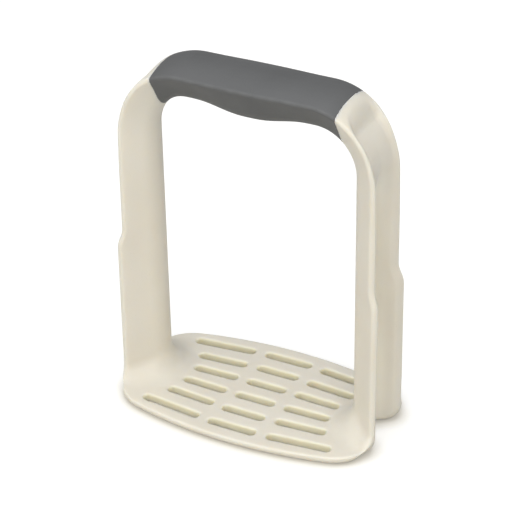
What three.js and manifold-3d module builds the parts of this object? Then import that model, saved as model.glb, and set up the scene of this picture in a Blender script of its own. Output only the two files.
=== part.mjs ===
// Wide-grip potato masher: a one-piece nylon loop with a slotted mashing plate, a rigid insert that
// closes the trough of its handle bridge, and a soft grip moulded around both.
// Millimetres. +Z is up, X runs along the handle, Y from front to back. The plate rests on z = 0.

import * as THREE from 'three';
import { mergeVertices } from 'three/addons/utils/BufferGeometryUtils.js';
import Module from 'manifold-3d';

const wasm = await Module();
wasm.setup();

// ---- driving dimensions -------------------------------------------------------------------------

const WIDTH = 150; // overall, at the plate's corners
const BASE_HALF_DEPTH = 44.3;
const PLATE_THICKNESS = 4.8;
const SIDE_ARC_RADIUS = 232; // front and back edges of the plate
const CORNER_RADIUS = 25; // plan corners of the plate
const BOTTOM_ROUNDING = 3;

const RIM_X = 72.2; // outer face of a leg above its step
const STEP_OUT = 2.6; // the legs stand this much wider below the step
const STEP_HEIGHT = 91.8;
const STEP_SPAN = 14; // height over which the step eases in
const CORNER_CENTRE_X = 35; // centre of the shoulder's arcs
const CORNER_CENTRE_Z = 153.8;
const RIM_RADIUS = RIM_X - CORNER_CENTRE_X; // shoulder radius along the rim
const RIM_TOP = CORNER_CENTRE_Z + RIM_RADIUS;

const LIP_RADIUS = 1.7; // rounded edge of the channel's rims
const LIP_Y = 15.8; // lip centre at the foot of the upper leg
const LIP_Y_TAPER = 0.01; // per millimetre of height
const LIP_Y_STEP = 1.2; // the rims are also this much further apart below the step
const WALL = 3.4; // channel wall
const LEG_DEPTH = 16.2; // rim face to window face above the step
const WEB_RADIUS = 12; // rounded window face of the legs

const GRIP_HALF_LENGTH = 50.5;
const HANDLE_EDGE_RADIUS = 3; // the handle's long edges, whose centres are on the rim line
const HANDLE_EDGE_Y = 13.9; // edge centre beside the palm swell
const HANDLE_SWELL_Y = 14.5; // and at the middle of the swell
const HANDLE_CROWN_ANGLE = 20; // degrees that the handle's top slopes by at its edges
const HANDLE_WAIST_DEPTH = 14.6; // rim line to underside beside the palm swell
const HANDLE_SWELL_DEPTH = 18.2; // and at the middle of the swell
const HANDLE_SWELL_RADIUS = 14;
const HANDLE_SWELL_HALF_LENGTH = 34;
const GRIP_SKIN = 2.2; // thickness of the soft grip over the bridge
const CORE_OVERLAP = 2.5; // the bridge runs this far into each shoulder

const CHANNEL_FADE_ANGLE = 5; // degrees around the shoulder where the channel starts to get shallow
const CHANNEL_COVE_ANGLE = 45; // where its floor starts to curve up
const CHANNEL_END_ANGLE = 60; // and where it meets the face
const CHANNEL_END_HALF_WIDTH = 12.3;
const CHANNEL_END_DEPTH = 4; // below the rim line
const CHANNEL_END_CORNER = 2.5; // how much the corners of the end draw in
const CHANNEL_TOP = 12; // how far the channel's cutter stands out of the rim line

const WEB_COVE = 14.5; // fillet from the plate to the middle of a leg
const LIP_COVE = 9; // and to its rims

const SLOT_WIDTH = 5;
const SLOT_ROUNDING = 1.2; // of its edge on the plate's top
// One quarter of the slot pattern, from the middle row outwards: the row's distance from the centre
// line, the half-length of its middle slot, and the ends of its side slot as [x, y].
const SLOT_ROWS = [
  { y: 6.75, middle: 11.5, inner: [17.6, 6.8], outer: [43.5, 6] },
  { y: 20.5, middle: 12.4, inner: [18.7, 19.7], outer: [47, 17.6] },
  { y: 34, middle: 13.9, inner: [20.3, 33.4], outer: [55.4, 29.7] },
];

const TROUGH_HALF_LENGTH = 45;
const TROUGH_HALF_WIDTH = 7.5;
const TROUGH_FLOOR = 185.3;
const GAP = 0.3; // between pieces that touch
const FACE_STEPS = 8; // facets across the outer face of the loop's section

// ---- geometry helpers ---------------------------------------------------------------------------

const radians = THREE.MathUtils.degToRad;
const smooth = (x, low, high) => THREE.MathUtils.smootherstep(x, low, high);
const mix = THREE.MathUtils.lerp;

// A closed body through rings of equal point counts. Each ring runs anticlockwise about the way the
// body grows. Every four-sided patch is split along its shorter diagonal.
function loft(rings) {
  const count = rings[0].length;
  const points = rings.flat();
  const index = [];
  for (let ring = 0; ring < rings.length - 1; ring += 1) {
    for (let i = 0; i < count; i += 1) {
      const a = ring * count + i;
      const b = ring * count + ((i + 1) % count);
      const c = b + count;
      const d = a + count;
      if (points[a].distanceTo(points[c]) < points[b].distanceTo(points[d])) {
        index.push(a, b, c, a, c, d);
      } else {
        index.push(a, b, d, b, c, d);
      }
    }
  }
  const last = (rings.length - 1) * count;
  for (let i = 1; i < count - 1; i += 1) {
    index.push(0, i + 1, i);
    index.push(last, last + i, last + i + 1);
  }
  const geometry = new THREE.BufferGeometry().setFromPoints(points);
  geometry.setIndex(index);
  return geometry;
}

function toSolid(geometry) {
  const bare = geometry.clone();
  bare.deleteAttribute('normal');
  bare.deleteAttribute('uv');
  const merged = mergeVertices(bare);
  const vertProperties = new Float32Array(merged.getAttribute('position').array);
  const triVerts = new Uint32Array(merged.getIndex().array);
  return new wasm.Manifold(new wasm.Mesh({ numProp: 3, vertProperties, triVerts }));
}

function toGeometry(solid) {
  const mesh = solid.getMesh();
  const geometry = new THREE.BufferGeometry();
  geometry.setAttribute('position', new THREE.BufferAttribute(mesh.vertProperties, 3));
  geometry.setIndex(new THREE.BufferAttribute(mesh.triVerts, 1));
  geometry.computeVertexNormals();
  return geometry;
}

function box(halfX, halfY, lowZ, highZ) {
  const geometry = new THREE.BoxGeometry(2 * halfX, 2 * halfY, highZ - lowZ);
  geometry.translate(0, 0, (lowZ + highZ) / 2);
  return toSolid(geometry);
}

// Points along an arc in a plane: centre, radius and the first and last direction in radians.
function arc(centre, radius, start, end, steps) {
  const points = [];
  for (let i = 0; i <= steps; i += 1) {
    const angle = mix(start, end, i / steps);
    points.push(new THREE.Vector2(
      centre.x + radius * Math.cos(angle),
      centre.y + radius * Math.sin(angle),
    ));
  }
  return points;
}

// ---- section of the loop ------------------------------------------------------------------------

// Direction, in the plane (y, depth), that faces out from the straight line touching two circles on
// their +y side: from one circle near the rims to one nearer the window.
function flankDirection(lip, lipRadius, web, webRadius) {
  const toWeb = new THREE.Vector2().subVectors(web, lip);
  return toWeb.angle() - Math.acos((lipRadius - webRadius) / toWeb.length());
}

const mirrored = (points) => points.map((p) => new THREE.Vector2(-p.x, p.y)).reverse();

// Outline around two lip circles and one web circle, in the plane (y, depth), where depth grows from
// the rim line towards the window. Its outer face is a parabola that leaves the lips at crownAngle.
function sectionOutline({ lipY, lipRadius, lipDepth, depth, webRadius, crownAngle }) {
  const lip = new THREE.Vector2(lipY, lipDepth + lipRadius);
  const web = new THREE.Vector2(0, depth - webRadius);
  const flank = flankDirection(lip, lipRadius, web, webRadius);
  const lipArc = arc(lip, lipRadius, crownAngle - Math.PI / 2, flank, 5);
  const webArc = arc(web, webRadius, flank, Math.PI / 2, 6);
  const right = [...lipArc, ...webArc.slice(0, -1)];
  const apex = webArc[webArc.length - 1];
  const edge = lipArc[0];
  const crown = (edge.x * Math.tan(crownAngle)) / 2;
  const face = [];
  for (let i = 1; i < FACE_STEPS; i += 1) {
    const along = mix(-1, 1, i / FACE_STEPS);
    face.push(new THREE.Vector2(along * edge.x, edge.y - crown * (1 - along ** 2)));
  }
  return [...right, apex, ...mirrored(right), ...face];
}

// Section sizes at a place on the loop: z is the height on the leg, turn the angle around the
// shoulder (0 on the leg, 90 degrees on the handle), x the place along the handle.
function sectionAt({ z, turn, x }) {
  const below = 1 - smooth(z, STEP_HEIGHT - STEP_SPAN / 2, STEP_HEIGHT + STEP_SPAN / 2);
  const swell = 1 - smooth(Math.abs(x), 0, HANDLE_SWELL_HALF_LENGTH);
  const onHandle = smooth(turn, 0, 90);
  const legLipY = LIP_Y - LIP_Y_TAPER * z + LIP_Y_STEP * below;
  return {
    lipY: mix(legLipY, mix(HANDLE_EDGE_Y, HANDLE_SWELL_Y, swell), onHandle),
    lipRadius: mix(LIP_RADIUS, HANDLE_EDGE_RADIUS, onHandle),
    lipDepth: -STEP_OUT * below - HANDLE_EDGE_RADIUS * onHandle,
    depth: mix(LEG_DEPTH, mix(HANDLE_WAIST_DEPTH, HANDLE_SWELL_DEPTH, swell), onHandle),
    webRadius: mix(WEB_RADIUS, mix(WEB_RADIUS, HANDLE_SWELL_RADIUS, swell), onHandle),
    crownAngle: radians(HANDLE_CROWN_ANGLE) * smooth(turn, 40, 75),
  };
}

// A place on the rim line: where it is and which way is inwards.
function rimPlace({ side, z, turn, x }) {
  if (turn === 0) {
    return { point: new THREE.Vector3(side * RIM_X, 0, z), inwards: new THREE.Vector3(-side, 0, 0) };
  }
  const angle = radians(turn);
  const outwards = new THREE.Vector3(side * Math.cos(angle), 0, Math.sin(angle));
  const centre = new THREE.Vector3(side * CORNER_CENTRE_X, 0, CORNER_CENTRE_Z);
  if (turn === 90) {
    centre.x = x;
  }
  return { point: centre.addScaledVector(outwards, RIM_RADIUS), inwards: outwards.negate() };
}

// The outline set up at a place. Rings run anticlockwise about the way up the right leg and over.
function ringAt(place, outline) {
  const { point, inwards } = rimPlace(place);
  return outline.map((p) => point.clone().addScaledVector(inwards, p.y).setY(p.x));
}

// Places up one leg, around its shoulder and along the handle to its middle.
function halfLoop(side, lowest) {
  const heights = [lowest, 30];
  const stepLow = STEP_HEIGHT - STEP_SPAN / 2;
  for (let i = 0; i <= 6; i += 1) {
    heights.push(stepLow + (STEP_SPAN * i) / 6);
  }
  heights.push(CORNER_CENTRE_Z);
  const places = heights.map((z) => ({ side, z, turn: 0, x: side * RIM_X }));
  for (let i = 1; i < 12; i += 1) {
    const turn = (90 * i) / 12;
    const x = side * (CORNER_CENTRE_X + RIM_RADIUS * Math.cos(radians(turn)));
    places.push({ side, z: CORNER_CENTRE_Z, turn, x });
  }
  for (let i = 0; i < 7; i += 1) {
    places.push({ side, z: CORNER_CENTRE_Z, turn: 90, x: side * CORNER_CENTRE_X * (1 - i / 7) });
  }
  return places;
}

function wholeLoop() {
  const middle = { side: 1, z: CORNER_CENTRE_Z, turn: 90, x: 0 };
  return [...halfLoop(1, 0), middle, ...halfLoop(-1, 0).reverse()];
}

// Legs, shoulders and handle as one full body, before the channels are cut.
function loopBody() {
  const rings = wholeLoop().map((place) => ringAt(place, sectionOutline(sectionAt(place))));
  return toSolid(loft(rings));
}

// ---- channels on the outer side of the legs -----------------------------------------------------

function channelCutter(side) {
  const places = halfLoop(side, -5).filter(({ turn }) => turn < CHANNEL_COVE_ANGLE);
  for (let i = 0; i <= 5; i += 1) {
    const turn = mix(CHANNEL_COVE_ANGLE, CHANNEL_END_ANGLE, Math.sin((Math.PI / 2) * (i / 5)));
    places.push({ side, z: CORNER_CENTRE_Z, turn, x: 0 });
  }
  const rings = places.map((place) => ringAt(place, channelOutline(place)));
  return toSolid(loft(side === 1 ? rings : rings.reverse()));
}

// Channel section: a round floor joined by straight flanks to the mouth, and straight out from there.
// At the shoulder the floor curves up through the face.
function channelOutline(place) {
  const section = sectionAt(place);
  const fade = smooth(place.turn, CHANNEL_FADE_ANGLE, CHANNEL_COVE_ANGLE);
  const past = Math.max(0, place.turn - CHANNEL_COVE_ANGLE) / (CHANNEL_END_ANGLE - CHANNEL_COVE_ANGLE);
  const rise = 1 - Math.sqrt(1 - past ** 2);
  const mouth = mix(section.lipY - LIP_RADIUS, CHANNEL_END_HALF_WIDTH, fade) - CHANNEL_END_CORNER * rise;
  const edge = new THREE.Vector2(mouth, mix(section.lipDepth, -CHANNEL_TOP / 2, rise));
  const depth = mix(mix(section.depth - WALL, CHANNEL_END_DEPTH, fade), 1 - CHANNEL_TOP / 2, rise);
  const floorRadius = section.webRadius - WALL;
  const floor = new THREE.Vector2(0, depth - floorRadius);
  const flank = flankDirection(edge, 0, floor, floorRadius);
  const right = [
    new THREE.Vector2(mouth, -CHANNEL_TOP),
    edge,
    ...arc(floor, floorRadius, flank, Math.PI / 2, 4).slice(0, -1),
  ];
  return [...right, new THREE.Vector2(0, depth), ...mirrored(right)];
}

// ---- mashing plate ------------------------------------------------------------------------------

// Plan outline: two long arcs joined by round corners.
function plateOutline() {
  const longCentre = BASE_HALF_DEPTH - SIDE_ARC_RADIUS;
  const cornerX = WIDTH / 2 - CORNER_RADIUS;
  const cornerY = longCentre + Math.sqrt((SIDE_ARC_RADIUS - CORNER_RADIUS) ** 2 - cornerX ** 2);
  const corner = new THREE.Vector2(cornerX, cornerY);
  const meet = Math.atan2(cornerY - longCentre, cornerX);
  const quarter = [
    ...arc(corner, CORNER_RADIUS, 0, meet, 9).slice(0, -1),
    ...arc(new THREE.Vector2(0, longCentre), SIDE_ARC_RADIUS, meet, Math.PI / 2, 6),
  ];
  const half = [...quarter, ...mirrored(quarter.slice(0, -1))];
  const front = half.map((p) => new THREE.Vector2(-p.x, -p.y));
  return new THREE.Shape([...half, ...front]);
}

// Everything above the floor and inside the plan outline, with its bottom edge rounded.
function plateEnvelope() {
  const height = 60;
  const geometry = new THREE.ExtrudeGeometry(plateOutline(), {
    depth: height,
    bevelThickness: BOTTOM_ROUNDING,
    bevelSize: BOTTOM_ROUNDING,
    bevelOffset: -BOTTOM_ROUNDING,
    bevelSegments: 4,
  });
  geometry.translate(0, 0, BOTTOM_ROUNDING);
  return toSolid(geometry);
}

// The foot of a leg, flared into the plate by a cove that is wide at the web and tight at the rims.
function legFoot(side) {
  const coveTop = PLATE_THICKNESS + WEB_COVE;
  const flare = (z, cove) => {
    const drop = THREE.MathUtils.clamp(PLATE_THICKNESS + cove - z, 0, cove);
    return cove - Math.sqrt(cove ** 2 - drop ** 2);
  };
  const rings = [];
  const steps = 10;
  for (let i = 0; i <= steps; i += 1) {
    const z = coveTop - WEB_COVE * Math.sin((Math.PI / 2) * (i / steps));
    const section = sectionAt({ z, turn: 0, x: side * RIM_X });
    const lipFlare = flare(z, LIP_COVE);
    const webFlare = flare(z, WEB_COVE);
    section.lipRadius += lipFlare;
    section.lipDepth -= lipFlare;
    section.webRadius += webFlare;
    section.depth += webFlare;
    rings.push(ringAt({ side, z, turn: 0, x: 0 }, sectionOutline(section)));
  }
  rings.push(rings[steps].map((p) => p.clone().setZ(0)));
  return toSolid(loft(side === 1 ? rings.reverse() : rings));
}

// One slot with round ends, from tip to tip, right through the plate and rounded at its top edge.
function slotCutter(from, to) {
  const direction = Math.atan2(to.y - from.y, to.x - from.x);
  const reach = new THREE.Vector2(SLOT_WIDTH / 2, 0).rotateAround(new THREE.Vector2(), direction);
  const start = from.clone().add(reach);
  const end = to.clone().sub(reach);
  const ringOf = (z, widening) => {
    const radius = SLOT_WIDTH / 2 + widening;
    return [
      ...arc(end, radius, direction - Math.PI / 2, direction + Math.PI / 2, 6),
      ...arc(start, radius, direction + Math.PI / 2, direction + (3 * Math.PI) / 2, 6),
    ].map((p) => new THREE.Vector3(p.x, p.y, z));
  };
  const rings = [ringOf(-10, 0)];
  for (let i = 0; i <= 3; i += 1) {
    const angle = (Math.PI / 2) * (i / 3);
    const z = PLATE_THICKNESS - SLOT_ROUNDING * (1 - Math.sin(angle));
    rings.push(ringOf(z, SLOT_ROUNDING * (1 - Math.cos(angle))));
  }
  rings.push(ringOf(PLATE_THICKNESS + 10, SLOT_ROUNDING));
  return toSolid(loft(rings));
}

function slotCutters() {
  const cutters = [];
  for (const row of SLOT_ROWS) {
    for (const back of [1, -1]) {
      const y = back * row.y;
      cutters.push(slotCutter(new THREE.Vector2(-row.middle, y), new THREE.Vector2(row.middle, y)));
      for (const side of [1, -1]) {
        const ends = [row.inner, row.outer].map(([x, rowY]) => new THREE.Vector2(side * x, back * rowY));
        cutters.push(slotCutter(...(side === 1 ? ends : ends.reverse())));
      }
    }
  }
  return cutters;
}

// ---- handle bridge ------------------------------------------------------------------------------

// The loop's own handle, inset by the grip's skin, so it is hidden all round.
function bridgeCore(inset) {
  const reach = GRIP_HALF_LENGTH + CORE_OVERLAP;
  const places = wholeLoop().filter((place) => place.turn > 0 && Math.abs(place.x) < reach + 6);
  const rings = places.map((place) => {
    const section = sectionAt(place);
    section.lipRadius -= inset;
    section.lipDepth += inset;
    section.webRadius -= inset;
    section.depth -= inset;
    return ringAt(place, sectionOutline(section));
  });
  return toSolid(loft(rings)).intersect(box(reach, WIDTH, 0, 2 * RIM_TOP));
}

function troughVolume(clearance) {
  return box(
    TROUGH_HALF_LENGTH - clearance,
    TROUGH_HALF_WIDTH - clearance,
    TROUGH_FLOOR + clearance,
    2 * RIM_TOP,
  );
}

// ---- pieces -------------------------------------------------------------------------------------

const body = loopBody();
const gripZone = (halfLength) => box(halfLength, WIDTH, CORNER_CENTRE_Z, 2 * RIM_TOP);
const core = bridgeCore(GRIP_SKIN);

function frameSolid() {
  const plate = box(WIDTH, WIDTH, 0, PLATE_THICKNESS);
  const foot = plate.add(legFoot(1)).add(legFoot(-1)).intersect(plateEnvelope());
  const legs = body.subtract(gripZone(GRIP_HALF_LENGTH)).subtract(bottomTrim());
  let solid = foot.add(legs).add(core).subtract(troughVolume(0));
  for (const side of [1, -1]) {
    solid = solid.subtract(channelCutter(side));
  }
  for (const cutter of slotCutters()) {
    solid = solid.subtract(cutter);
  }
  return solid;
}

// The legs' share below the plate's top comes from the flared feet alone.
function bottomTrim() {
  return box(WIDTH, WIDTH, -1, PLATE_THICKNESS + 1);
}

function insertSolid() {
  return core.intersect(troughVolume(GAP));
}

function gripSolid() {
  return body.intersect(gripZone(GRIP_HALF_LENGTH - GAP)).subtract(bridgeCore(GRIP_SKIN - GAP));
}

const nylon = new THREE.MeshStandardMaterial({ color: 0xd8d1c2, roughness: 0.48, metalness: 0 });
const rigidInsert = new THREE.MeshStandardMaterial({ color: 0x8c8b86, roughness: 0.5, metalness: 0 });
const softGrip = new THREE.MeshStandardMaterial({ color: 0x5e5f60, roughness: 0.72, metalness: 0 });

function piece(name, solid, material) {
  const mesh = new THREE.Mesh(toGeometry(solid), material);
  mesh.name = name;
  return mesh;
}

const masher = new THREE.Group();
masher.add(piece('masher_frame', frameSolid(), nylon));
masher.add(piece('bridge_insert', insertSolid(), rigidInsert));
masher.add(piece('soft_grip', gripSolid(), softGrip));

export default masher;
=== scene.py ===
"""Wide-grip potato masher: a smooth nylon loop and soft grip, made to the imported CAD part.

The nylon loop and the grip are meshed here from distance fields, so that every edge is rounded and
every joint between surfaces is a real fillet. Sizes and fields are in millimetres, and a mesh is
stored in metres. The part is the same on all four quarters, so a field drops the signs of x and y.
"""

import math

import bpy
import numpy as np
from mathutils import Matrix, Vector


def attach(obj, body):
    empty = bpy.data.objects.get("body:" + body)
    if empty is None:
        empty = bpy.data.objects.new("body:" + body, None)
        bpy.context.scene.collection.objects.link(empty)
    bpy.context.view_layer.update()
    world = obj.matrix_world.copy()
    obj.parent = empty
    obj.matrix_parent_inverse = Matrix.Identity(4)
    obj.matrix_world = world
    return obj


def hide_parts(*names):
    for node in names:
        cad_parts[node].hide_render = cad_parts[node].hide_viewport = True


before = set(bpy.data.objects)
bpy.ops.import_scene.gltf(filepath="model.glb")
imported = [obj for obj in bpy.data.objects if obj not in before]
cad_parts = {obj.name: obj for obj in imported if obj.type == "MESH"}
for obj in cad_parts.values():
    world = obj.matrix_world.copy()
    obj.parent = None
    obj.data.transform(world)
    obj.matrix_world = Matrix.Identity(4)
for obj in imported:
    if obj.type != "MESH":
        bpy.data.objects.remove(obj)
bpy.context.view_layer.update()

MM = 0.001

# ---- sizes of the part ---------------------------------------------------------------------------

BASE_HALF_WIDTH = 75.0
BASE_HALF_DEPTH = 44.3
PLATE_THICKNESS = 4.8
SIDE_ARC_RADIUS = 232.0
CORNER_RADIUS = 25.0
BOTTOM_ROUNDING = 3.6
LEG_FOOT_ROUNDING = 8.0
LEG_FOOT_X = (60, 70)  # the bottom's rounding grows to the leg foot's along these stretches
LEG_FOOT_Y = (20, 34)
TOP_ROUNDING = 1.2
PLAN_FLARE = 0.4  # slope at which the plan outline opens, from PLAN_FLARE_HEIGHT up
PLAN_FLARE_HEIGHT = 25
PLAN_EDGE_ROUNDING = 0.3

RIM_X = 72.35  # the rim line, along which the loop's section is swept
STEP_OUT = 2.6  # how much further out the lower part of a leg stands
STEP_HEIGHT = 91.8
STEP_SPAN = 14.0
SHOULDER_X = 35.15  # centre of the shoulder's curve
SHOULDER_Z = 153.8
RIM_RADIUS = RIM_X - SHOULDER_X
RIM_TOP = SHOULDER_Z + RIM_RADIUS

LIP_RADIUS = 2.2
LIP_Y = 15.3
RIM_WIDTH = 4.6
RIM_ROUNDING = 3.6  # where the rim turns into the channel
RIM_ROUNDING_AT_END = 2.6
RIM_ROUNDING_TURN = (10, 45)  # where around the shoulder the one becomes the other
LIP_Y_TAPER = 0.01
LIP_Y_STEP = 1.2
WALL = 3.4
LEG_DEPTH = 16.2
WEB_RADIUS = 12.0  # of the round face towards the hand window

GRIP_HALF_LENGTH = 50.5
GRIP_END_GAP = 0.03  # between the grip's ends and the shoulders
GRIP_INNER_GAP = 0.3  # between the grip and the bridge inside it
GRIP_SKIN = 2.2
INNER_EDGE_RADIUS = 2.5  # edge radius that the surfaces inside the grip are offset from
INNER_EDGE_CENTRE = 2.0  # how far inside the handle's edges that radius is centred
HANDLE_TOP_OFFSET = 2.7  # how far the handle's edges stand above the rim line
HANDLE_EDGE_RADIUS = 1.5
HANDLE_EDGE_Y = 15.4
HANDLE_SWELL_Y = 16.0
HANDLE_CROWN_ANGLE = 20.0
HANDLE_CROWN_TURN = (40, 75)  # where around the shoulder the crown grows
HANDLE_CROWN_REACH = 1.2  # the crown's curve is followed to this share of its half-width
HANDLE_WAIST_DEPTH = 14.6
HANDLE_SWELL_DEPTH = 18.2
HANDLE_SWELL_RADIUS = 14.0
HANDLE_SWELL_HALF_LENGTH = 34.0
CORE_HALF_LENGTH = 53.0  # of the bridge inside the grip
SEAM_ROUNDING = 0.06  # edges of the seam between grip and shoulder

CHANNEL_FADE_START = -45.0  # along the rim, from where the shoulder begins
CHANNEL_FADE_END = 30.0
CHANNEL_COVE_ANGLE = 45.0  # where the floor starts to curve out to the surface
CHANNEL_COVE_LENGTH = 11.0
CHANNEL_COVE_LIFT = 8.8
CHANNEL_END_HALF_WIDTH = 14.0
CHANNEL_END_DEPTH = 2.3
CHANNEL_END_CORNER = 2.2  # how much narrower the cove is at its end
CHANNEL_END_FILLET = 3.5

WEB_COVE = 14.5  # fillets where a leg meets the plate
LIP_COVE = 9.0

SLOT_HALF_WIDTH = 2.5
SLOT_TOP_ROUNDING = 1.2
SLOT_FOOT_ROUNDING = 0.15
SLOT_TOP = 15  # the slots cut only what is lower than this
SLOT_ROWS = [
    # row's y, half-length of its middle slot, ends of its side slot
    (6.75, 11.5, (17.6, 6.8), (43.5, 6.0)),
    (20.5, 12.4, (18.7, 19.7), (47.0, 17.6)),
    (34.0, 13.9, (20.3, 33.4), (55.4, 29.7)),
]

TROUGH_HALF_LENGTH = 45.0  # the trough for the insert, in the bridge inside the grip
TROUGH_HALF_WIDTH = 7.5
TROUGH_FLOOR = 185.3

# The slot walls carry a painted glow: a lighter, yellower ivory for light shining through the thin
# nylon.
SLOT_PAINTED_GLOW_REACH = 0.8 * SLOT_TOP_ROUNDING  # past a slot's outline
# The channel floors carry painted light: a much lighter ivory that lifts the shade inside the
# channels.
CHANNEL_PAINTED_LIGHT_DEPTH = (1.0, 8.0)  # stretches over which the tint grows or fades
CHANNEL_PAINTED_LIGHT_Y = (1, 13)
CHANNEL_PAINTED_LIGHT_Z = (20, 100)
CHANNEL_PAINTED_LIGHT_REACH = 0.3  # how far from the channel's surface a point still counts as on it
CHANNEL_PAINTED_LIGHT_START_X = 55

FAR = 50.0  # a distance that stands for nowhere near
TINY = 1e-9  # keeps a divisor or an angle defined

# ---- distance field helpers ----------------------------------------------------------------------


def smooth(x, low, high):
    """0 below low, 1 above high, and a smooth rise between them."""
    t = np.clip((x - low) / (high - low), 0.0, 1.0)
    return t * t * t * (t * (6 * t - 15) + 10)


def mix(a, b, t):
    return a + (b - a) * t


def join(a, b, radius):
    """Union of two fields with a round fillet where they meet."""
    inner = np.hypot(np.maximum(radius - a, 0), np.maximum(radius - b, 0))
    return np.maximum(radius, np.minimum(a, b)) - inner


def meet(a, b, radius):
    """Intersection of two fields with a rounded edge where they meet."""
    outer = np.hypot(np.maximum(radius + a, 0), np.maximum(radius + b, 0))
    return np.minimum(-radius, np.maximum(a, b)) + outer


def place_on_loop(x, z):
    """Depth inwards from the rim line, and the turn around the shoulder: 0 on a leg, 90 on top."""
    dx = x - SHOULDER_X
    dz = z - SHOULDER_Z
    on_leg = dz < 0
    on_handle = (dx < 0) & ~on_leg
    around = np.hypot(dx, dz)
    depth = np.where(on_leg, RIM_X - x, np.where(on_handle, RIM_TOP - z, RIM_RADIUS - around))
    angle = np.degrees(np.arctan2(np.maximum(dz, 0), np.maximum(dx, TINY)))
    turn = np.where(on_leg, 0.0, np.where(on_handle, 90.0, angle))
    return depth, turn


def section_at(x, z, turn):
    """Sizes of the loop's section, as in the CAD part."""
    below = 1 - smooth(z, STEP_HEIGHT - STEP_SPAN / 2, STEP_HEIGHT + STEP_SPAN / 2)
    swell = 1 - smooth(x, 0, HANDLE_SWELL_HALF_LENGTH)
    on_handle = smooth(turn, 0, 90)
    leg_lip_y = LIP_Y - LIP_Y_TAPER * z + LIP_Y_STEP * below
    edge_y = mix(HANDLE_EDGE_Y, HANDLE_SWELL_Y, swell)
    handle_depth = mix(HANDLE_WAIST_DEPTH, HANDLE_SWELL_DEPTH, swell)
    handle_web = mix(WEB_RADIUS, HANDLE_SWELL_RADIUS, swell)
    return {
        "lip_y": mix(leg_lip_y, edge_y, on_handle),
        "lip_radius": mix(LIP_RADIUS, HANDLE_EDGE_RADIUS, on_handle),
        "lip_depth": -STEP_OUT * below - HANDLE_TOP_OFFSET * on_handle,
        "depth": mix(LEG_DEPTH, handle_depth, on_handle),
        "web_radius": mix(WEB_RADIUS, handle_web, on_handle),
        "crown_angle": math.radians(HANDLE_CROWN_ANGLE) * smooth(turn, *HANDLE_CROWN_TURN),
    }


def flank_angle(lip_y, lip_depth, lip_radius, web_depth, web_radius):
    """Direction in (y, depth) that faces out from the line touching the lip and web circles."""
    dy = -lip_y
    dd = web_depth - lip_depth
    return np.arctan2(dd, dy) - np.arccos((lip_radius - web_radius) / np.hypot(dy, dd))


def outer_field(y, depth, s, inset=0.0):
    """Full section: lips, crowned outer face, straight flanks and round window face.

    inset: how far inwards the surface is offset, for those inside the grip.
    """
    lip_radius, lip_y = s["lip_radius"], s["lip_y"]
    lip_depth = s["lip_depth"] + lip_radius
    if inset:
        shift = np.maximum(INNER_EDGE_CENTRE - lip_radius, 0)
        lip_y, lip_depth = lip_y - shift, lip_depth + shift
        lip_radius = INNER_EDGE_RADIUS - inset
    web_radius = s["web_radius"] - inset
    web_depth = s["depth"] - s["web_radius"]
    angle = flank_angle(lip_y, lip_depth, lip_radius, web_depth, web_radius)
    normal = np.cos(angle), np.sin(angle)
    along = -normal[1], normal[0]
    from_lip = y - lip_y, depth - lip_depth
    from_web = y, depth - web_depth
    side = from_lip[0] * normal[0] + from_lip[1] * normal[1] - lip_radius
    past_web = from_web[0] * along[0] + from_web[1] * along[1] > 0
    side = np.where(past_web, np.hypot(*from_web) - web_radius, side)

    crown = s["crown_angle"]
    edge_y = lip_y + lip_radius * np.sin(crown)
    edge_depth = lip_depth - lip_radius * np.cos(crown)
    rise = edge_y * np.tan(crown) / 2
    share = np.minimum(y / edge_y, HANDLE_CROWN_REACH)
    slope = 2 * rise * share / edge_y
    face = (edge_depth - rise * (1 - share**2) - depth) / np.hypot(1, slope)

    before_flank = from_lip[0] * along[0] + from_lip[1] * along[1] < 0
    beside_face = from_lip[0] * np.cos(crown) + from_lip[1] * np.sin(crown) > 0
    on_lip = before_flank & beside_face
    return np.where(on_lip, np.hypot(*from_lip) - lip_radius, np.maximum(face, side))


def channel_field(y, z, depth, turn, s):
    """The open channel in the outer side of a leg, whose floor curves out through the shoulder."""
    past_shoulder = np.minimum(z - SHOULDER_Z, 0) + np.radians(turn) * RIM_RADIUS
    fade = smooth(past_shoulder, CHANNEL_FADE_START, CHANNEL_FADE_END)

    # At its end the floor curves out along a cove, and then runs on straight.
    run = np.radians(turn - CHANNEL_COVE_ANGLE) * RIM_RADIUS
    phase = np.clip(run / CHANNEL_COVE_LENGTH, 0, 1) * (math.pi / 2)
    steepest = CHANNEL_COVE_LIFT * math.pi / 2 / CHANNEL_COVE_LENGTH
    slope = steepest * np.sin(phase)
    lift = CHANNEL_COVE_LIFT * (1 - np.cos(phase))
    lift = lift + steepest * np.maximum(run - CHANNEL_COVE_LENGTH, 0)
    mouth = mix(s["lip_y"] + LIP_RADIUS - RIM_WIDTH, CHANNEL_END_HALF_WIDTH, fade)
    mouth = mouth - CHANNEL_END_CORNER * (1 - np.cos(phase))

    # On a leg, straight flanks run from the mouth's edges to a round floor, a wall's width inside
    # the round face towards the window.
    floor_radius = s["web_radius"] - WALL
    centre_depth = s["depth"] - WALL - floor_radius
    angle = flank_angle(mouth, s["lip_depth"], 0.0, centre_depth, floor_radius)
    normal = np.cos(angle), np.sin(angle)
    along = -normal[1], normal[0]
    from_edge = y - mouth, depth - s["lip_depth"]
    from_centre = y, depth - centre_depth
    flank = from_edge[0] * normal[0] + from_edge[1] * normal[1]
    past_floor = from_centre[0] * along[0] + from_centre[1] * along[1] > 0
    on_leg = np.where(past_floor, np.hypot(*from_centre) - floor_radius, flank)

    # On the shoulder the floor is shallow and flat.
    floor = (depth - CHANNEL_END_DEPTH + lift) / np.hypot(1, slope)
    at_end = meet(floor, y - mouth, CHANNEL_END_FILLET)
    field = mix(on_leg, at_end, fade)
    return np.maximum(field, y - mouth)


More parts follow.
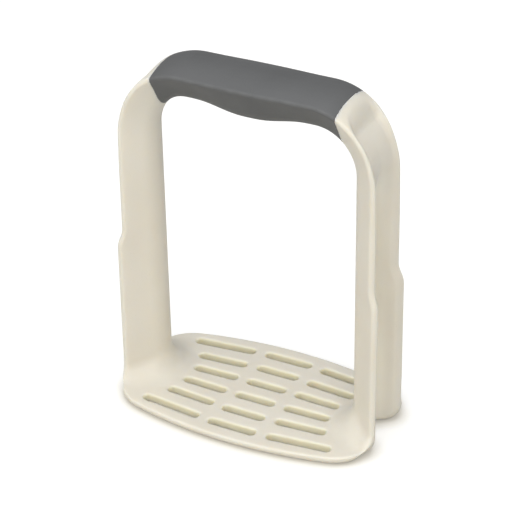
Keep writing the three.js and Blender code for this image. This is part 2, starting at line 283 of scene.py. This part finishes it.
def plan_field(x, y):
    """Plan outline of the plate: two long arcs joined by round corners."""
    long_centre = BASE_HALF_DEPTH - SIDE_ARC_RADIUS
    corner_x = BASE_HALF_WIDTH - CORNER_RADIUS
    corner_y = long_centre + math.sqrt((SIDE_ARC_RADIUS - CORNER_RADIUS) ** 2 - corner_x**2)
    on_corner = (y - long_centre) * corner_x < x * (corner_y - long_centre)
    on_side = y < corner_y
    long_edge = np.hypot(x, y - long_centre) - SIDE_ARC_RADIUS
    corner = np.hypot(x - corner_x, y - corner_y) - CORNER_RADIUS
    return np.where(on_side, x - BASE_HALF_WIDTH, np.where(on_corner, corner, long_edge))


def capsule(x, y, start, end):
    """Slot outline from tip to tip."""
    length = math.hypot(end[0] - start[0], end[1] - start[1])
    ux, uy = (end[0] - start[0]) / length, (end[1] - start[1]) / length
    along = (x - start[0]) * ux + (y - start[1]) * uy
    across = (y - start[1]) * ux - (x - start[0]) * uy
    nearest = np.clip(along, SLOT_HALF_WIDTH, length - SLOT_HALF_WIDTH)
    return np.hypot(along - nearest, across) - SLOT_HALF_WIDTH


def slots_field(x, y):
    """All the slots in plan."""
    field = np.full(np.broadcast(x, y).shape, FAR)
    for row_y, half, inner, outer in SLOT_ROWS:
        field = np.minimum(field, capsule(x, y, (-half, row_y), (half, row_y)))
        field = np.minimum(field, capsule(x, y, inner, outer))
    return field


def slot_painted_glow(x, y, z):
    """Share of the painted glow on the slot walls, for light through the thin nylon: 1 on the
    walls, fading to 0 on the plate around them.
    """
    away = np.maximum(slots_field(np.abs(x), np.abs(y)), 0)
    return (1 - smooth(away, 0.0, SLOT_PAINTED_GLOW_REACH)) * (z < PLATE_THICKNESS)


def channel_painted_light(x, y, z):
    """Share of painted light on the floor of the channels, where the wall is thin: 1 there, fading
    to 0 on the rims.
    """
    x, y = np.abs(x), np.abs(y)
    depth, turn = place_on_loop(x, z)
    s = section_at(x, z, turn)
    flank = smooth(y, *CHANNEL_PAINTED_LIGHT_Y) * smooth(z, *CHANNEL_PAINTED_LIGHT_Z)
    in_channel = channel_field(y, z, depth, turn, s) < CHANNEL_PAINTED_LIGHT_REACH
    on_wall = in_channel * (x > CHANNEL_PAINTED_LIGHT_START_X)
    return smooth(depth, *CHANNEL_PAINTED_LIGHT_DEPTH) * (1 - flank) * on_wall


def core_field(x, y, z, depth, s):
    """The nylon bridge inside the grip, less the trough that the insert lies in."""
    core = np.maximum(outer_field(y, depth, s, GRIP_SKIN), x - CORE_HALF_LENGTH)
    beside_trough = np.maximum(x - TROUGH_HALF_LENGTH, y - TROUGH_HALF_WIDTH)
    return np.maximum(core, -np.maximum(beside_trough, TROUGH_FLOOR - z))


def frame_field(x, y, z):
    """The one-piece nylon loop with its slotted plate."""
    x, y = np.abs(x), np.abs(y)
    depth, turn = place_on_loop(x, z)
    s = section_at(x, z, turn)
    outer = outer_field(y, depth, s)

    cove = mix(LIP_COVE, WEB_COVE, smooth(depth, 0.0, LEG_DEPTH))
    edge = plan_field(x, y) - PLAN_FLARE * np.maximum(z - PLAN_FLARE_HEIGHT, 0)
    plate = meet(z - PLATE_THICKNESS, edge, TOP_ROUNDING)
    foot = meet(join(outer, plate, cove), edge, PLAN_EDGE_ROUNDING)
    near_leg = smooth(x, *LEG_FOOT_X) * (1 - smooth(y, *LEG_FOOT_Y))
    foot = meet(foot, -z, mix(BOTTOM_ROUNDING, LEG_FOOT_ROUNDING, near_leg))

    shoulder = meet(outer, GRIP_HALF_LENGTH - x, SEAM_ROUNDING)
    top = np.minimum(shoulder, core_field(x, y, z, depth, s))
    body = np.where(z < SHOULDER_Z, foot, top)

    rim_rounding = mix(RIM_ROUNDING, RIM_ROUNDING_AT_END, smooth(turn, *RIM_ROUNDING_TURN))
    body = meet(body, -channel_field(y, z, depth, turn, s), rim_rounding)
    slot_rounding = np.where(z > PLATE_THICKNESS / 2, SLOT_TOP_ROUNDING, SLOT_FOOT_ROUNDING)
    return meet(body, np.where(z < SLOT_TOP, -slots_field(x, y), -FAR), slot_rounding)


def grip_field(x, y, z):
    """The soft grip: the handle's outer shape less the bridge inside it."""
    x, y = np.abs(x), np.abs(y)
    depth, turn = place_on_loop(x, z)
    s = section_at(x, z, turn)
    outer = outer_field(y, depth, s)
    inner = outer_field(y, depth, s, GRIP_SKIN - GRIP_INNER_GAP)
    shell = meet(outer, x - (GRIP_HALF_LENGTH - GRIP_END_GAP), SEAM_ROUNDING)
    return np.maximum(shell, -inner)


# ---- meshing -------------------------------------------------------------------------------------

NEAREST = 0.01  # no grid point is taken to be nearer the surface than this
PINCH_PASSES = 4
PROJECTION_PASSES = 3
PROJECTION_STEP = 0.02  # each step is the reach of the differences that give a slope
LONGEST_MOVE = 0.35
LEAST_SLOPE_SQUARED = 0.25
NORMAL_STEP = 0.15
WEAR_STEP = 0.6


def spaced(*stretches):
    """Grid lines: (start, end, step) stretches, one after another."""
    lines = []
    for start, end, step in stretches:
        count = max(1, round((end - start) / step))
        lines.extend(start + (end - start) * i / count for i in range(count))
    lines.append(stretches[-1][1])
    return np.array(lines)


def both_sides(lines):
    """Lines moved out by half a step and mirrored, so that none is on 0 itself."""
    half = lines + (lines[1] - lines[0]) / 2
    return np.concatenate([-half[::-1], half])


def without_pinches(values):
    """Grid values, changed so that no face's corners are inside and outside by turns.

    A face like that would give an edge with four mesh faces on it.
    """
    for _ in range(PINCH_PASSES):
        inside = values < 0
        for u, v in ((0, 1), (0, 2), (1, 2)):
            corners = []
            for step_u, step_v in ((0, 0), (1, 0), (1, 1), (0, 1)):
                cut = [slice(None)] * 3
                cut[u] = slice(step_u, inside.shape[u] - 1 + step_u)
                cut[v] = slice(step_v, inside.shape[v] - 1 + step_v)
                corners.append(inside[tuple(cut)])
            a, b, c, d = corners
            for face in np.argwhere((a == c) & (b == d) & (a != b)):
                around = np.repeat(face[None, :], 4, axis=0)
                around[[1, 2], u] += 1
                around[[2, 3], v] += 1
                nearest = tuple(around[np.argmin(np.abs(values[tuple(around.T)]))])
                values[nearest] = -math.copysign(NEAREST, values[nearest])
    return values


def surface_net(field, xs, ys, zs):
    """Closed quad mesh of the field's zero surface: a vertex in each cell that it crosses.

    The field is worked out on one quarter of the grid and mirrored.
    """
    x_half, y_half = xs[len(xs) // 2 :], ys[len(ys) // 2 :]
    values = field(x_half[:, None, None], y_half[None, :, None], zs[None, None, :])
    values = np.concatenate([values[::-1], values], axis=0)
    values = np.concatenate([values[:, ::-1], values], axis=1)
    values = without_pinches(np.where(np.abs(values) < NEAREST, NEAREST, values))
    inside = values < 0
    lines = (xs, ys, zs)
    strides = np.array([len(ys) * len(zs), len(zs), 1])
    quads, cells, points = [], [], []
    for axis in range(3):
        low = [slice(None)] * 3
        high = [slice(None)] * 3
        low[axis], high[axis] = slice(None, -1), slice(1, None)
        changed = np.argwhere(inside[tuple(low)] != inside[tuple(high)])
        ends = changed.copy()
        ends[:, axis] += 1
        a = values[tuple(changed.T)]
        b = values[tuple(ends.T)]
        share = a / (a - b)
        at = np.stack([lines[k][changed[:, k]] for k in range(3)], axis=1)
        at[:, axis] += share * (lines[axis][ends[:, axis]] - lines[axis][changed[:, axis]])
        u, v = (axis + 1) % 3, (axis + 2) % 3
        base = changed @ strides
        around = np.stack(
            [base - strides[u] - strides[v], base - strides[v], base, base - strides[u]], axis=1
        )
        around[a > 0] = around[a > 0][:, ::-1]
        quads.append(around)
        cells.append(around.ravel())
        points.append(np.repeat(at, 4, axis=0))
    cells = np.concatenate(cells)
    points = np.concatenate(points)
    _cells, index = np.unique(cells, return_inverse=True)
    count = np.bincount(index)
    vertices = np.stack([np.bincount(index, points[:, k]) / count for k in range(3)], axis=1)
    return vertices, index.reshape(-1, 4)


def slopes(field, p, step):
    """Gradient and summed curvature of the field at points."""
    here = field(p[:, 0], p[:, 1], p[:, 2])
    gradient = np.zeros_like(p)
    total = -6 * here
    for axis in range(3):
        offset = np.zeros(3)
        offset[axis] = step
        more = field(*(p + offset).T)
        less = field(*(p - offset).T)
        gradient[:, axis] = (more - less) / (2 * step)
        total += more + less
    return here, gradient, total / step**2


def mesh_from_field(name, field, xs, ys, zs, marks):
    """Object whose vertices lie on the field's surface, with the field's own normals.

    It has the point attribute wear, 0 to 1 on convex edges, and those in marks, which are
    functions of x, y and z.
    """
    vertices, quads = surface_net(field, xs, ys, zs)
    for _ in range(PROJECTION_PASSES):
        here, gradient, _curve = slopes(field, vertices, PROJECTION_STEP)
        size = np.maximum((gradient**2).sum(axis=1), LEAST_SLOPE_SQUARED)
        move = (here / size)[:, None] * gradient
        length = np.linalg.norm(move, axis=1, keepdims=True)
        vertices -= move * np.minimum(1, LONGEST_MOVE / np.maximum(length, TINY))
    _here, gradient, _curve = slopes(field, vertices, NORMAL_STEP)
    normals = gradient / np.linalg.norm(gradient, axis=1, keepdims=True)
    _here, _gradient, curve = slopes(field, vertices, WEAR_STEP)

    mesh = bpy.data.meshes.new(name)
    mesh.from_pydata((vertices * MM).tolist(), [], quads.tolist())
    mesh.validate()
    mesh.shade_smooth()
    values = {"wear": np.clip(curve, 0, 1)}
    values.update({key: mark(*vertices.T) for key, mark in marks.items()})
    for key, value in values.items():
        attribute = mesh.attributes.new(key, "FLOAT", "POINT")
        attribute.data.foreach_set("value", value.astype(np.float32))
    mesh.normals_split_custom_set_from_vertices(normals.tolist())
    obj = bpy.data.objects.new(name, mesh)
    bpy.context.scene.collection.objects.link(obj)
    return obj


# ---- materials -----------------------------------------------------------------------------------


MIX_A, MIX_B, MIX_RESULT = 6, 7, 2  # the Mix node's colour sockets, which share names with others


class Nodes:
    """Short calls for building one material's nodes."""

    def __init__(self, name):
        self.material = bpy.data.materials.new(name)
        self.material.use_nodes = True
        self.tree = self.material.node_tree
        self.shader = self.tree.nodes["Principled BSDF"]
        self.place = self.add("ShaderNodeTexCoord").outputs["Object"]

    def add(self, kind, **settings):
        node = self.tree.nodes.new(kind)
        for key, value in settings.items():
            setattr(node, key, value)
        return node

    def link(self, source, socket):
        if isinstance(source, bpy.types.NodeSocket):
            self.tree.links.new(source, socket)
        else:
            socket.default_value = source

    def noise(self, scale, detail, roughness=0.5):
        """Noise 0 to 1, with scale features to the metre."""
        node = self.add("ShaderNodeTexNoise")
        self.link(self.place, node.inputs["Vector"])
        node.inputs["Scale"].default_value = scale
        node.inputs["Detail"].default_value = detail
        node.inputs["Roughness"].default_value = roughness
        return node.outputs["Fac"]

    def span(self, value, low, high, to_low, to_high):
        """Value taken from low...high to to_low...to_high."""
        node = self.add("ShaderNodeMapRange")
        self.link(value, node.inputs["Value"])
        names = "From Min", "From Max", "To Min", "To Max"
        for name, number in zip(names, (low, high, to_low, to_high)):
            node.inputs[name].default_value = number
        return node.outputs["Result"]

    def math(self, operation, a, b):
        node = self.add("ShaderNodeMath", operation=operation)
        self.link(a, node.inputs[0])
        self.link(b, node.inputs[1])
        return node.outputs[0]

    def blend(self, share, a, b):
        node = self.add("ShaderNodeMix", data_type="RGBA")
        self.link(share, node.inputs["Factor"])
        self.link(a, node.inputs[MIX_A])
        self.link(b, node.inputs[MIX_B])
        return node.outputs[MIX_RESULT]

    def attribute(self, name):
        return self.add("ShaderNodeAttribute", attribute_name=name).outputs["Fac"]

    def bump(self, height, distance, strength=1.0, after=None):
        node = self.add("ShaderNodeBump")
        node.inputs["Strength"].default_value = strength
        node.inputs["Distance"].default_value = distance
        self.link(height, node.inputs["Height"])
        if after is not None:
            self.link(after, node.inputs["Normal"])
        return node.outputs["Normal"]


IVORY_DARK, IVORY_LIGHT = (0.736, 0.695, 0.600, 1), (0.761, 0.724, 0.634, 1)
IVORY_SPECK = (0.640, 0.585, 0.465, 1)
IVORY_WORN = (0.780, 0.748, 0.668, 1)
# A lighter, yellower ivory painted on the slot walls: a painted glow of light through the nylon.
IVORY_PAINTED_GLOW_IN_SLOT = (0.800, 0.762, 0.595, 1)
# A much lighter ivory painted on the channel floors: painted light against the channels' shade.
IVORY_PAINTED_LIGHT_IN_CHANNEL = (0.880, 0.845, 0.745, 1)
SLOT_PAINTED_GLOW = 0.8

GREY_DARK, GREY_LIGHT = (0.091, 0.093, 0.093, 1), (0.103, 0.105, 0.105, 1)
GREY_DUST = (0.140, 0.140, 0.138, 1)
GREY_WORN = (0.160, 0.161, 0.162, 1)

INSERT_DARK, INSERT_LIGHT = (0.245, 0.240, 0.225, 1), (0.285, 0.280, 0.262, 1)
INSERT_FIBRE = (0.42, 0.41, 0.39, 1)


def nylon():
    """Satin ivory nylon: faint clouds and specks, worn edges, a painted glow on the slot walls and
    painted light on the channel floors, where the wall is thin.
    """
    n = Nodes("ivory_nylon")
    broad = n.span(n.noise(22, 2), 0.35, 0.65, 0, 1)
    cloud = n.blend(broad, IVORY_DARK, IVORY_LIGHT)
    speck = n.span(n.noise(900, 2), 0.62, 0.78, 0, 0.22)
    colour = n.blend(speck, cloud, IVORY_SPECK)
    edge = n.math("MULTIPLY", n.attribute("wear"), n.span(n.noise(140, 4), 0.4, 0.7, 0.03, 0.28))
    colour = n.blend(edge, colour, IVORY_WORN)
    # Painted glow on the slot walls.
    colour = n.blend(n.math("MULTIPLY", n.attribute("slot"), SLOT_PAINTED_GLOW), colour, IVORY_PAINTED_GLOW_IN_SLOT)
    # Painted light on the channel floors.
    colour = n.blend(n.attribute("channel"), colour, IVORY_PAINTED_LIGHT_IN_CHANNEL)
    n.link(colour, n.shader.inputs["Base Color"])
    rough = n.span(n.noise(60, 4), 0.3, 0.7, 0.36, 0.46)
    polish = n.math("MULTIPLY", edge, -0.1)
    n.link(n.math("ADD", rough, polish), n.shader.inputs["Roughness"])
    flow = n.bump(n.noise(45, 2), 0.0004, 0.35)
    n.link(n.bump(n.noise(1500, 3), 0.00003, 0.5, flow), n.shader.inputs["Normal"])
    n.shader.inputs["IOR"].default_value = 1.5
    n.shader.inputs["Subsurface Weight"].default_value = 0.8
    n.shader.inputs["Subsurface Radius"].default_value = (1.0, 0.9, 0.72)
    n.shader.inputs["Subsurface Scale"].default_value = 0.004
    return n.material


def soft_touch():
    """Matt dark grey rubber: fine grain, a little dust, paler where hands rub its edges."""
    n = Nodes("soft_touch_grey")
    broad = n.span(n.noise(30, 3), 0.35, 0.65, 0, 1)
    colour = n.blend(broad, GREY_DARK, GREY_LIGHT)
    dust = n.span(n.noise(420, 3, 0.65), 0.6, 0.8, 0, 0.25)
    colour = n.blend(dust, colour, GREY_DUST)
    edge = n.math("MULTIPLY", n.attribute("wear"), n.span(n.noise(160, 4), 0.4, 0.7, 0.1, 0.5))
    colour = n.blend(edge, colour, GREY_WORN)
    n.link(colour, n.shader.inputs["Base Color"])
    n.link(n.span(n.noise(80, 4), 0.3, 0.7, 0.50, 0.60), n.shader.inputs["Roughness"])
    grain = n.bump(n.noise(2200, 2, 0.6), 0.00004, 0.6)
    n.link(grain, n.shader.inputs["Normal"])
    n.shader.inputs["Sheen Weight"].default_value = 0.05
    n.shader.inputs["Sheen Roughness"].default_value = 0.5
    return n.material


def rigid_plastic():
    """Grey fibre-filled plastic, for the insert hidden in the handle."""
    n = Nodes("grey_rigid_plastic")
    broad = n.span(n.noise(40, 3), 0.35, 0.65, 0, 1)
    colour = n.blend(broad, INSERT_DARK, INSERT_LIGHT)
    fibre = n.span(n.noise(1100, 4, 0.7), 0.55, 0.75, 0, 0.4)
    n.link(n.blend(fibre, colour, INSERT_FIBRE), n.shader.inputs["Base Color"])
    n.link(n.span(n.noise(90, 4), 0.3, 0.7, 0.42, 0.56), n.shader.inputs["Roughness"])
    n.link(n.bump(n.noise(900, 3), 0.00005, 0.5), n.shader.inputs["Normal"])
    return n.material


# ---- pieces --------------------------------------------------------------------------------------

frame_xs = both_sides(spaced((0, 49.9, 1.0), (49.9, 50.9, 0.25), (50.9, 76.5, 0.85)))
frame_ys = both_sides(spaced((0, 46, 0.8)))
frame_zs = spaced(
    (-1.3, 23, 0.65),  # the plate and the feet
    (23, 83, 2.5),
    (83, 100, 1.1),  # the step in the legs
    (100, 150, 2.5),
    (150, 197.8, 0.9),  # the shoulders and the handle
)
loop_marks = {"slot": slot_painted_glow, "channel": channel_painted_light}
loop = mesh_from_field("nylon_loop", frame_field, frame_xs, frame_ys, frame_zs, loop_marks)

grip_xs = both_sides(spaced((0, 47, 1.0), (47, 49, 0.5), (49, 51.1, 0.12)))
grip_ys = both_sides(spaced((0, 19.5, 0.65)))
grip_zs = spaced((167.3, 198.3, 0.6))
grip = mesh_from_field("soft_grip_cover", grip_field, grip_xs, grip_ys, grip_zs, {})

loop.data.materials.append(nylon())
grip.data.materials.append(soft_touch())
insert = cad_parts["bridge_insert"]
insert.data.materials.clear()
insert.data.materials.append(rigid_plastic())

for piece, node, slot in ((loop, "masher_frame", "nylon"), (grip, "soft_grip", "soft_grip")):
    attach(piece, "root")
    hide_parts(node)

# ---- stage, light and camera ---------------------------------------------------------------------

scene = bpy.context.scene
scene.view_settings.view_transform = "Standard"
scene.view_settings.look = "None"

SKY_BRIGHT_SIDE = (0.27, -0.68, 0.68)
SKY_DIMMEST, SKY_BRIGHTEST = 0.12, 0.62

world = bpy.data.worlds.new("studio")
scene.world = world
world.use_nodes = True
sky = world.node_tree
background = sky.nodes["Background"]
direction = sky.nodes.new("ShaderNodeTexCoord").outputs["Generated"]
towards = sky.nodes.new("ShaderNodeVectorMath")
towards.operation = "DOT_PRODUCT"
towards.inputs[1].default_value = SKY_BRIGHT_SIDE
sky.links.new(direction, towards.inputs[0])
level = sky.nodes.new("ShaderNodeMapRange")
level.interpolation_type = "SMOOTHSTEP"
level_ends = ("From Min", -1), ("From Max", 1), ("To Min", SKY_DIMMEST), ("To Max", SKY_BRIGHTEST)
for key, number in level_ends:
    level.inputs[key].default_value = number
sky.links.new(towards.outputs["Value"], level.inputs["Value"])
# The camera sees the sky white, as it does the floor; only its light has a bright and a dim side.
backdrop = sky.nodes.new("ShaderNodeMath")
backdrop.operation = "MAXIMUM"
sky.links.new(level.outputs["Result"], backdrop.inputs[0])
sky.links.new(sky.nodes.new("ShaderNodeLightPath").outputs["Is Camera Ray"], backdrop.inputs[1])
sky.links.new(backdrop.outputs["Value"], background.inputs["Strength"])
background.inputs["Color"].default_value = (1.0, 1.0, 1.0, 1)

FLOOR_SIZE = 8
FLOOR_DROP = 0.0002  # clear of the plate's underside
CONTACT_REACH = 0.010  # how far from the part the floor is shaded
FLOOR_DARK, FLOOR_LIGHT = (0.59, 0.585, 0.565, 1), (0.61, 0.605, 0.585, 1)
# Warm, darker floor colour for the painted contact shadow around the part.
FLOOR_PAINTED_SHADOW = (0.58, 0.545, 0.460, 1)

bpy.ops.mesh.primitive_plane_add(size=FLOOR_SIZE, location=(0, 0, -FLOOR_DROP))
floor = bpy.context.object
floor.name = "floor"
paper = Nodes("pale_floor")
open_sky = paper.add("ShaderNodeAmbientOcclusion", samples=16)
open_sky.inputs["Distance"].default_value = CONTACT_REACH
# Painted contact shadow: where ambient occlusion finds the part close by, the floor turns darker
# and warmer, and its glow for the camera drops from 0.5 to 0.2.
painted_shadow_share = paper.span(open_sky.outputs["AO"], 0.45, 0.95, 1, 0)
paper_tone = paper.blend(paper.noise(3, 2), FLOOR_DARK, FLOOR_LIGHT)
paper_tone = paper.blend(painted_shadow_share, paper_tone, FLOOR_PAINTED_SHADOW)
paper.link(paper_tone, paper.shader.inputs["Base Color"])
paper.shader.inputs["Roughness"].default_value = 0.9
paper.shader.inputs["Specular IOR Level"].default_value = 0.1
seen = paper.add("ShaderNodeLightPath").outputs["Is Camera Ray"]
paper.shader.inputs["Emission Color"].default_value = (1, 1, 1, 1)
glow = paper.math("MULTIPLY", seen, paper.span(painted_shadow_share, 0, 1, 0.5, 0.2))
paper.link(glow, paper.shader.inputs["Emission Strength"])
floor.data.materials.append(paper.material)

LAMP_AIM = Vector((0, 0, 0.1))
WARM_WHITE = (1.0, 0.985, 0.955)
COOL_WHITE = (0.955, 0.985, 1.05)


def softbox(name, place, side, power, colour):
    """Square area lamp that faces the part."""
    lamp = bpy.data.lights.new(name, "AREA")
    lamp.shape = "RECTANGLE"
    lamp.size = lamp.size_y = side
    lamp.energy = power
    lamp.color = colour
    obj = bpy.data.objects.new(name, lamp)
    scene.collection.objects.link(obj)
    obj.location = place
    obj.rotation_mode = "QUATERNION"
    obj.rotation_quaternion = (LAMP_AIM - Vector(place)).to_track_quat("-Z", "Y")


softbox("key_front", (0.58, -1.4, 1.25), 1.8, 17.5, WARM_WHITE)
softbox("top", (0.0, 0.0, 1.8), 1.8, 13.5, COOL_WHITE)
softbox("fill_left", (-1.5, -1.0, 0.9), 1.2, 5, WARM_WHITE)

CAMERA_AZIMUTH = math.radians(27.407)
CAMERA_ELEVATION = math.radians(31.622)
CAMERA_ROLL = math.radians(-0.983)
CAMERA_DISTANCE = 1.0123
CAMERA_TARGET = Vector((0.0009, 0.0, 0.0889))
CAMERA_LENS = 135.5
SENSOR_WIDTH = 36.0
NEAREST_SEEN, FURTHEST_SEEN = 0.05, 30

back = Vector((
    math.sin(CAMERA_AZIMUTH) * math.cos(CAMERA_ELEVATION),
    -math.cos(CAMERA_AZIMUTH) * math.cos(CAMERA_ELEVATION),
    math.sin(CAMERA_ELEVATION),
))
lens = bpy.data.cameras.new("camera")
lens.lens = CAMERA_LENS
lens.sensor_width = SENSOR_WIDTH
lens.clip_start, lens.clip_end = NEAREST_SEEN, FURTHEST_SEEN
camera = bpy.data.objects.new("camera", lens)
scene.collection.objects.link(camera)
camera.rotation_mode = "QUATERNION"
upright = (-back).to_track_quat("-Z", "Y")
camera.rotation_quaternion = upright @ Matrix.Rotation(CAMERA_ROLL, 3, "Z").to_quaternion()
camera.location = CAMERA_TARGET + back * CAMERA_DISTANCE
scene.camera = camera
